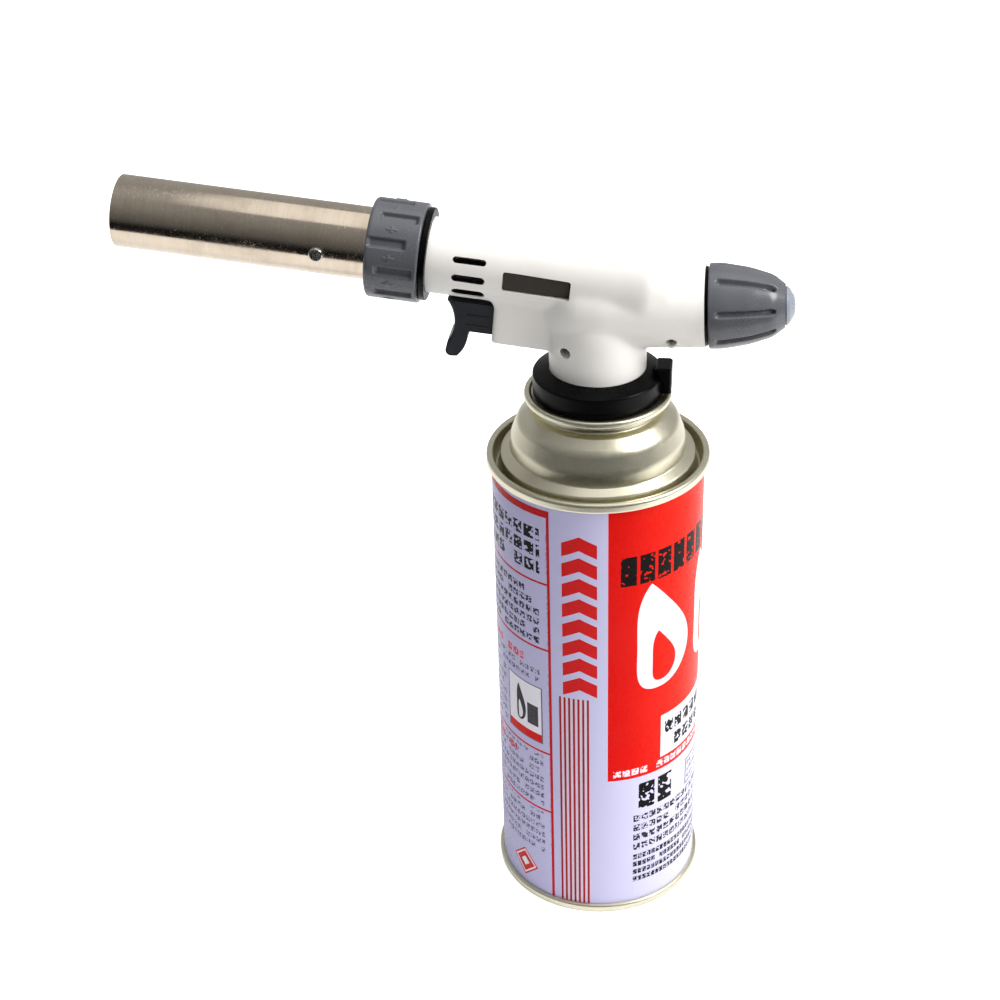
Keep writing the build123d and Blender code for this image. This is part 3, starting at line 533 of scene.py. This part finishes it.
burner_turn = -radians(BURNER_TILT)
finishes = {
    "printed_tin": printed_tin(),
    "tinplate": metal("tinplate", srgb(224, 220, 198), 0.33, 0.0, 1.2, 1.2, 0.006, 0.05, 0.10, 0.5),
    "black_rubber": moulded("black_rubber", srgb(26, 26, 28), 0.6, 0.3),
    "valve_plastic": moulded("valve_plastic", srgb(222, 218, 205), 0.4),
    "spring_steel": metal("spring_steel", srgb(190, 190, 188), 0.25, 0.0, 0.3, 3.0),
    "black_plastic": moulded("black_plastic", srgb(3, 3, 4), 0.3, 0.6, 0.006, 0.1, dust_and_shade_amount=0.03, specular=0.1),
    "brass": metal("brass", srgb(206, 168, 98), 0.28, burner_turn, 0.3, 2.0),
    "zinc": metal("zinc", srgb(168, 168, 170), 0.45, 0.0, 0.8, 1.6, 0.03),
    "steel_tube": metal("steel_tube", srgb(186, 182, 176), 0.25, burner_turn),
    "barrel_steel": barrel_steel(),
    "black_screw": metal("black_screw", srgb(34, 30, 27), 0.4, 0.0, 0.5, 0.5),
    "screw_steel": metal("screw_steel", srgb(205, 203, 198), 0.2, 0.0, 0.5, 0.5),
    "ceramic": moulded("ceramic", srgb(232, 228, 218), 0.3),
    "white_plastic": moulded("white_plastic", srgb(236, 234, 230), 0.36, 0.5, 0.008, 0.02, dust_and_shade_amount=0.2,
                             shaded=vent_painted_shade),
    "plate_dark": moulded("plate_dark", srgb(56, 51, 48), 0.42, 0.35, 0.02, 0.12, specular=0.35),
    "igniter_black": moulded("igniter_black", srgb(24, 24, 26), 0.4),
    "lead_red": moulded("lead_red", srgb(170, 30, 26), 0.45),
    "gray_plastic": moulded("gray_plastic", srgb(84, 86, 91), 0.27, 0.4, 0.016, 0.06),
    "air_sleeve": moulded("air_sleeve", srgb(40, 40, 42), 0.45),
    "trigger_black": moulded("trigger_black", srgb(38, 40, 45), 0.36, 0.4, 0.014, 0.06, specular=0.4),
    "cap_gray": moulded("cap_gray", srgb(130, 137, 148), 0.28, 0.5, 0.008, 0.04),
}
for subpart in frame["record"]["subparts"]:
    for slot in nodes[subpart["node"]].material_slots:
        slot.material = finishes[subpart["material_slot"]]


# ---------------------------------------------------------------- mesh helpers
def soften(points, steps=5):
    """A profile of (distance, radius, rounding) with its corners turned into arcs."""
    outline = []
    count = len(points)
    for k, (along, out, rounding) in enumerate(points):
        here = Vector((along, out))
        before, after = Vector(points[k - 1][:2]), Vector(points[(k + 1) % count][:2])
        to_before, to_after = (before - here), (after - here)
        if rounding <= 0 or to_before.length < 1e-6 or to_after.length < 1e-6:
            outline.append(here)
            continue
        half = to_before.angle(to_after) / 2
        if half > pi / 2 - 0.01:
            outline.append(here)
            continue
        reach = min(rounding / tan(half), to_before.length * 0.49, to_after.length * 0.49)
        start, end = here + to_before.normalized() * reach, here + to_after.normalized() * reach
        for step in range(steps + 1):
            t = step / steps
            outline.append(start * (1 - t) ** 2 + here * 2 * t * (1 - t) + end * t ** 2)
    return outline


def lathe(points, origin, along, upward, steps=128, steps_round=5):
    """A closed solid of revolution from a closed profile in mm."""
    outline = soften(points, steps_round)
    across = along.cross(upward)
    bm = bmesh.new()
    rings = []
    for step in range(steps):
        turn = 2 * pi * step / steps
        out = upward * cos(turn) + across * sin(turn)
        rings.append([bm.verts.new(origin + along * p.x * MM + out * max(p.y, 0.0) * MM) for p in outline])
    count = len(outline)
    for step in range(steps):
        here, there = rings[step], rings[(step + 1) % steps]
        for k in range(count):
            n = (k + 1) % count
            if outline[k].y < 1e-6 and outline[n].y < 1e-6:
                continue
            bm.faces.new((here[k], here[n], there[n], there[k]))
    bmesh.ops.remove_doubles(bm, verts=bm.verts, dist=1e-7)
    bmesh.ops.dissolve_degenerate(bm, dist=1e-8, edges=bm.edges)
    bmesh.ops.recalc_face_normals(bm, faces=bm.faces)
    return bm


def prism(outline, origin, along, upward, across, low, high):
    """A closed slab: an outline of (along, upward) in mm, from low to high mm across."""
    bm = bmesh.new()
    near = [bm.verts.new(origin + (along * a + upward * b + across * low) * MM) for a, b in outline]
    far = [bm.verts.new(origin + (along * a + upward * b + across * high) * MM) for a, b in outline]
    bm.faces.new(near)
    bm.faces.new(list(reversed(far)))
    for k in range(len(outline)):
        n = (k + 1) % len(outline)
        bm.faces.new((near[k], far[k], far[n], near[n]))
    bmesh.ops.recalc_face_normals(bm, faces=bm.faces)
    return bm


def capsule_outline(length, width, steps=8):
    reach, radius = (length - width) / 2, width / 2
    right = [(reach + radius * cos(t), radius * sin(t)) for t in [(-0.5 + k / steps) * pi for k in range(steps + 1)]]
    left = [(-reach + radius * cos(t), radius * sin(t)) for t in [(0.5 + k / steps) * pi for k in range(steps + 1)]]
    return right + left


def rounded_outline(length, width, corner, steps=4):
    points = [(-length / 2, -width / 2, corner), (length / 2, -width / 2, corner), (length / 2, width / 2, corner),
              (-length / 2, width / 2, corner)]
    return [(p.x, p.y) for p in soften(points, steps)]


def body_from(name, *forms):
    """One mesh object from several bmesh forms."""
    mesh = bpy.data.meshes.new(name)
    joined = bmesh.new()
    for form in forms:
        part = bpy.data.meshes.new("form")
        form.to_mesh(part)
        form.free()
        joined.from_mesh(part)
        bpy.data.meshes.remove(part)
    joined.to_mesh(mesh)
    joined.free()
    body = bpy.data.objects.new(name, mesh)
    bpy.context.scene.collection.objects.link(body)
    return body


def settle(body):
    """Apply a body's modifiers to its mesh."""
    evaluated = body.evaluated_get(bpy.context.evaluated_depsgraph_get())
    mesh = bpy.data.meshes.new_from_object(evaluated)
    old = body.data
    body.modifiers.clear()
    body.data = mesh
    bpy.data.meshes.remove(old)
    return body


def discard(body):
    mesh = body.data
    bpy.data.objects.remove(body)
    bpy.data.meshes.remove(mesh)


def cut(body, operation, *forms):
    """Join, subtract or keep the overlap with a form; the form is used up."""
    for form in forms:
        tool = body_from("tool", form)
        step = body.modifiers.new("cut", "BOOLEAN")
        step.operation, step.object, step.solver = operation, tool, "MANIFOLD"
        settle(body)
        discard(tool)
    return body


def finish_piece(body, slot_name, rides_on, replaced=(), sharp=32.0):
    body.data.polygons.foreach_set("use_smooth", [True] * len(body.data.polygons))
    body.data.set_sharp_from_angle(angle=radians(sharp))
    body.data.materials.clear()
    body.data.materials.append(finishes[slot_name])
    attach(body, rides_on)
    if replaced:
        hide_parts(*replaced)
    return body


# ---------------------------------------------------------------- the two housing shells
WALL = 1.8
TUBE_END, REAR_END, NECK_FOOT = 50.2, 31.3, 182.05
VENTS = ((22.0, 1.9), (-7.0, 2.4), (-36.0, 3.2))
VENT_LENGTH, VENT_STATION = 9.7, 36.05
SHELL_SCREWS = ((-8.3, 196.3), (22.0, 200.0))
FAIRING_HEIGHT, FAIRING_TILT = 208.2, 1.1
PLATE_STATION, PLATE_DROP = 16.4, 0.4


def facing_form(outline, origin, along, upward, angle, station, low, high):
    """A slab stood on a round piece's wall at an angle from its top, 0 being upwards."""
    out = upward * cos(radians(angle)) + sideways * sin(radians(angle))
    return prism(outline, origin + along * station * MM, along, out.cross(along), out, low, high)


def rod_across(x, z, radius, start, end):
    return lathe([(start, 0, 0), (start, radius, 0), (end, radius, 0), (end, 0, 0)], Vector((x, 0, z)) * MM, sideways,
                 up, 40)


def housing_solid():
    """Tube, hump, neck, knob boss and trigger block run together with soft fillets."""
    tube = lathe([(TUBE_END + 4, 0, 0), (TUBE_END + 4, 11.0, 0), (22.0, 11.15, 60), (-8.0, 13.1, 30),
                  (-15.0, 13.8, 6),
                  (-22.6, 11.2, 4), (-24.2, 0, 0)], tube_origin, forward, rise, 160, 10)
    neck = lathe([(NECK_FOOT - 5, 0, 0), (NECK_FOOT - 5, 14.45, 0), (203.0, 14.45, 16), (218.0, 8.0, 0),
                  (218.0, 0, 0)],
                 can_origin, up, Vector((1, 0, 0)), 160, 10)
    boss = lathe([(-6.0, 0, 0), (REAR_END + 4, 0, 0), (REAR_END + 4, 12.1, 0), (-6.0, 11.5, 0)], knob_origin,
                 backward, knob_rise, 160)
    lean = radians(FAIRING_TILT)
    fairing = lathe([(-15.5, 0, 0), (28.5, 0, 0), (28.5, 12.0, 0), (2.0, 14.2, 14), (-8.0, 13.8, 16),
                     (-15.0, 8.0, 3)],
                    up * FAIRING_HEIGHT * MM, Vector((cos(lean), 0, -sin(lean))), Vector((sin(lean), 0, cos(lean))), 160, 10)
    outline = [(28.3, -22.5), (28.3, -11.0), (29.3, -8.6), (32.5, -6.0), (0, -4.0), (0, -22.5)]
    block = prism(outline, tube_origin, forward, rise, sideways, -7.9, 7.9)
    solid = body_from("housing_solid", tube, neck, boss, fairing, block)
    voxels = solid.modifiers.new("voxels", "REMESH")
    voxels.mode, voxels.voxel_size = "VOXEL", 0.5 * MM
    relax = solid.modifiers.new("relax", "SMOOTH")
    relax.factor, relax.iterations = 0.5, 34
    return settle(solid)


def make_shells():
    housing = housing_solid()
    big = rounded_outline(90, 90, 0)
    cut(housing, "DIFFERENCE",
        prism(big, tube_origin + forward * TUBE_END * MM, rise, sideways, forward, 0, 30),
        prism(big, knob_origin + backward * REAR_END * MM, knob_rise, sideways, backward, 0, 30),
        prism(big, can_origin + up * NECK_FOOT * MM, Vector((1, 0, 0)), sideways, up, -30, 0))
    # the hollow
    cut(housing, "DIFFERENCE",
        lathe([(TUBE_END + 1, 0, 0), (TUBE_END + 1, 9.1, 0), (22.0, 9.2, 60), (-8.0, 11.1, 30), (-15.0, 11.8, 6),
               (-20.7, 9.2, 4),
               (-22.2, 0, 0)], tube_origin, forward, rise, 128, 8),
        lathe([(NECK_FOOT - 2, 0, 0), (NECK_FOOT - 2, 12.6, 0), (203.0, 12.6, 14), (217.0, 6.0, 0), (217.0, 0, 0)],
              can_origin, up, Vector((1, 0, 0)), 128, 8),
        lathe([(-6.0, 0, 0), (REAR_END - WALL, 0, 0), (REAR_END - WALL, 10.2, 0), (-6.0, 9.6, 0)], knob_origin,
              backward, knob_rise, 128),
        prism([(34.0, -20.6), (34.0, -7.5), (0.5, -4.4), (0.5, -20.6)], tube_origin, forward, rise, sideways, -6.0,
              6.0),
        lathe([(REAR_END - 4, 0, 0), (REAR_END - 4, 4.3, 0), (REAR_END + 1, 4.3, 0), (REAR_END + 1, 0, 0)], knob_origin, backward, knob_rise, 64))
    # screw bosses, then their holes
    cut(housing, "UNION", rod_across(*SHELL_SCREWS[0], 2.2, -11.0, 11.0),
        rod_across(*SHELL_SCREWS[1], 2.2, -8.8, 8.8))
    for x, z in SHELL_SCREWS:
        cut(housing, "DIFFERENCE", rod_across(x, z, 1.65, -16.0, -4.0), rod_across(x, z, 1.1, -5.0, 0.0),
            rod_across(x, z, 0.95, 0.0, 7.0))
    for angle, width in VENTS:
        vent = capsule_outline(VENT_LENGTH, width)
        for turn in (angle - 90, 90 - angle):
            cut(housing, "DIFFERENCE", facing_form(vent, tube_origin, forward, rise, turn, VENT_STATION, 6.0, 14.0))
    pocket = rounded_outline(19.6, 5.8, 0.8)
    cut(housing, "DIFFERENCE", prism(pocket, tube_origin + forward * PLATE_STATION * MM - rise * PLATE_DROP * MM,
                                     forward, rise, sideways, -20.0, -10.08))
    wide = rounded_outline(160, 160, 0)
    for name, low, high in (("left_shell", -60.0, -0.06), ("right_shell", 0.06, 60.0)):
        half = bpy.data.objects.new(name + "_moulding", housing.data.copy())
        bpy.context.scene.collection.objects.link(half)
        cut(half, "INTERSECT", prism(wide, Vector((0, 0, 0.2)), Vector((1, 0, 0)), up, sideways, low, high))
        finish_piece(half, "white_plastic", "head", [name])
    discard(housing)


def ease(value, low, high):
    t = min(1.0, max(0.0, (value - low) / (high - low)))
    return t * t * (3 - 2 * t)


def relieved_turning(name, points, origin, along, upward, relief, outer_from, steps=480, spacing=0.3):
    """A turned piece whose outside is sunk or raised by relief(angle, station) mm."""
    outline = soften(points, 6)
    fine = []
    for k, here in enumerate(outline):
        there = outline[(k + 1) % len(outline)]
        outside = here.y > outer_from(here.x) and there.y > outer_from(there.x)
        pieces = max(1, int((there - here).length / spacing)) if outside else 1
        fine += [here.lerp(there, j / pieces) for j in range(pieces)]
    across = along.cross(upward)
    bm = bmesh.new()
    rings = []
    for step in range(steps):
        angle = 360.0 * step / steps
        out = upward * cos(radians(angle)) + across * sin(radians(angle))
        ring = []
        for p in fine:
            raised = relief(angle, p.x) if p.y > outer_from(p.x) else 0.0
            ring.append(bm.verts.new(origin + along * p.x * MM + out * max(p.y + raised, 0.0) * MM))
        rings.append(ring)
    for step in range(steps):
        here, there = rings[step], rings[(step + 1) % steps]
        for k in range(len(fine)):
            n = (k + 1) % len(fine)
            if fine[k].y < 1e-6 and fine[n].y < 1e-6:
                continue
            bm.faces.new((here[k], here[n], there[n], there[k]))
    bmesh.ops.remove_doubles(bm, verts=bm.verts, dist=1e-7)
    bmesh.ops.dissolve_degenerate(bm, dist=1e-8, edges=bm.edges)
    bmesh.ops.recalc_face_normals(bm, faces=bm.faces)
    return body_from(name, bm)


# ---------------------------------------------------------------- air collar, knob, barrel, trigger ridges
COLLAR_BARS, COLLAR_START, COLLAR_END, COLLAR_R = 11, 50.5, 66.0, 14.5
FIRST_BAR, BAR_START, BAR_STAGGER, BAR_DEPTH = 92.5, 51.7, 2.6, 1.1
TICK_HEIGHT = 0.22
FLUTES, FIRST_FLUTE, FLUTE_DEPTH, PIT_DEPTH = 8, 77.0, 1.35, 0.5


def collar_relief(angle, station):
    """Sunk finger bars, staggered front and back, with a small raised tick between each two."""
    pitch = 360.0 / COLLAR_BARS
    turn = (angle + FIRST_BAR) % 360.0
    bar = int(turn / pitch + 0.5) % COLLAR_BARS
    off = abs((turn + pitch / 2) % pitch - pitch / 2)
    start = BAR_START + (BAR_STAGGER if bar % 2 else 0.0)
    sunk = ((1 - ease(off, 3.4, 6.8)) * ease(station, start - 0.3, start + 1.0)
            * (1 - ease(station, start + 10.2, start + 11.5)))
    tick_off = abs(turn % pitch - pitch / 2)
    tick = (1 - ease(tick_off, 3.2, 4.2)) * ease(station, 58.2, 58.6) * (1 - ease(station, 59.0, 59.4))
    cross = (1 - ease(tick_off, 0.6, 1.4)) * ease(station, 57.0, 57.4) * (1 - ease(station, 60.2, 60.6))
    return TICK_HEIGHT * max(tick, cross) - BAR_DEPTH * sunk


def flute_relief(angle, station):
    """Long rounded grips, deepest at their tip end."""
    pitch = 360.0 / FLUTES
    off = abs((angle - FIRST_FLUTE + pitch / 2) % pitch - pitch / 2)
    width = 5.8 + 1.6 * ease(station, 42.0, 51.0)
    groove = 1 - ease(off, 0.6, width + 0.6)
    lengthwise = ease(station, 34.0, 35.6) * (1 - ease(station, 50.4, 51.4))
    pit = ease(station, 47.8, 49.4) * (1 - ease(station, 50.4, 51.4))
    return -(FLUTE_DEPTH * lengthwise + PIT_DEPTH * pit) * groove


def make_collar():
    collar = relieved_turning(
        "grip_collar", [(COLLAR_START, 11.9, 0.2), (COLLAR_END, 11.9, 0.4), (COLLAR_END, COLLAR_R, 1.4),
                        (COLLAR_START, COLLAR_R, 0.7)],
        tube_origin, forward, rise, collar_relief, lambda station: 14.0, 540, 0.28)
    finish_piece(collar, "gray_plastic", "air_collar", ["collar"], 60)


def make_knob():
    profile = [(29.8, 2.05, 0), (51.0, 2.05, 0), (51.0, 0, 0), (54.0, 0, 0), (54.0, 6.25, 0.35), (50.6, 8.95, 9),
               (44.0, 11.05, 30),
               (36.0, 12.4, 22), (32.3, 12.35, 0.6), (32.3, 10.6, 0.3), (45.0, 8.6, 1.0), (46.0, 4.0, 0.8), (29.8, 4.0, 0.2)]
    knob = relieved_turning("flame_knob", profile, knob_origin, backward, knob_rise, flute_relief,
                            lambda station: 10.9 - max(0.0, station - 36.0) * 0.32, 480, 0.3)
    finish_piece(knob, "gray_plastic", "knob", ["knob"], 60)


def make_barrel():
    """A plain tube with its mouth rolled slightly in."""
    barrel = body_from("polished_barrel", lathe(
        [(52.8, 10.0, 0), (139.6, 10.0, 0.5), (141.0, 9.55, 0.15), (141.3, 9.75, 0.15), (141.3, 10.6, 1.0),
         (52.8, 10.6, 0.1)],
        burner_origin, forward, rise, 256, 8))
    finish_piece(barrel, "barrel_steel", "head", ["barrel"], 50)


def make_trigger_ridges():
    ridge = rounded_outline(6.4, 0.55, 0.25)
    forms = [prism(ridge, tube_origin + forward * 33.0 * MM + rise * drop * MM, forward, rise, sideways, *span)
             for drop in (-15.2, -18.4) for span in ((-5.9, -5.5), (5.5, 5.9))]
    finish_piece(body_from("trigger_ridges", *forms), "trigger_black", "trigger")


make_shells()
make_collar()
make_knob()
make_barrel()
make_trigger_ridges()


# ---------------------------------------------------------------- stage
FLOOR_HALF = 3.0  # metres
FLOOR_FRONT = 0.27  # how far the pale floor reaches in front of the torch


def make_floor():
    bm = bmesh.new()
    bmesh.ops.create_grid(bm, x_segments=8, y_segments=8, size=FLOOR_HALF)
    bmesh.ops.translate(bm, vec=(0, FLOOR_HALF - FLOOR_FRONT, 0), verts=bm.verts)
    floor = body_from("studio_floor", bm)
    floor.data.materials.append(studio_floor())


def make_world():
    """A pale surround, dim in front of the torch, which polished metal shows as a dark line."""
    world = bpy.data.worlds.new("studio_surround")
    bpy.context.scene.world = world
    world.use_nodes = True
    tree = world.node_tree
    direction = put(tree, "ShaderNodeTexCoord").outputs["Generated"]
    heading = put(tree, "ShaderNodeSeparateXYZ", None, {"Vector": direction})
    level, depth = heading.outputs["Z"], heading.outputs["Y"]

    def gradient(steps):
        ramp = put(tree, "ShaderNodeValToRGB", None, {"Fac": spread(tree, level, -1.0, 1.0, 0.0, 1.0)})
        stops = ramp.color_ramp.elements
        (low, first), (high, last) = steps[0], steps[-1]
        stops[0].position, stops[0].color = low, (first, first, first, 1)
        stops[1].position, stops[1].color = high, (last, last, last, 1)
        for position, value in steps[1:-1]:
            stops.new(position).color = (value, value, value, 1)
        return ramp.outputs["Color"]

    behind = gradient(((0.0, 0.5), (0.8, 0.5), (0.95, 0.42), (1.0, 0.5)))
    before = gradient(((0.0, 0.012), (0.36, 0.012), (0.5, 0.14), (0.62, 0.20), (0.8, 0.32), (0.95, 0.42), (1.0, 0.5)))
    surround = blend_colour(tree, spread(tree, depth, -0.15, 0.1, 1.0, 0.0), behind, before)
    pale = blend_colour(tree, put(tree, "ShaderNodeLightPath").outputs["Is Camera Ray"], surround,
                        (1.25, 1.25, 1.25, 1))
    background = tree.nodes["Background"]
    tree.links.new(pale, background.inputs["Color"])
    background.inputs["Strength"].default_value = 0.85


make_camera()
make_floor()
make_world()
soft_light("key_panel", (0.85, -0.15, 0.95), (0, 0, 0.15), 0.5, 0.5, 11.0, (1.0, 0.985, 0.97))
soft_light("sky_panel", (0.16, 0.175, 1.25), (0.16, 0.165, 0), 0.9, 1.15, 2.6, (1.0, 0.985, 0.965))
soft_light("overhead_fill", (0.05, 0.15, 1.2), (0, 0, 0.15), 0.9, 0.7, 7.0, (1.0, 0.99, 0.98), glossy=False)
soft_light("front_panel", (0.85, -0.8, 0.5), (0, 0, 0.15), 0.7, 0.6, 6.0, (1.0, 0.99, 0.975), glossy=False)
bpy.context.scene.view_settings.view_transform = "Standard"
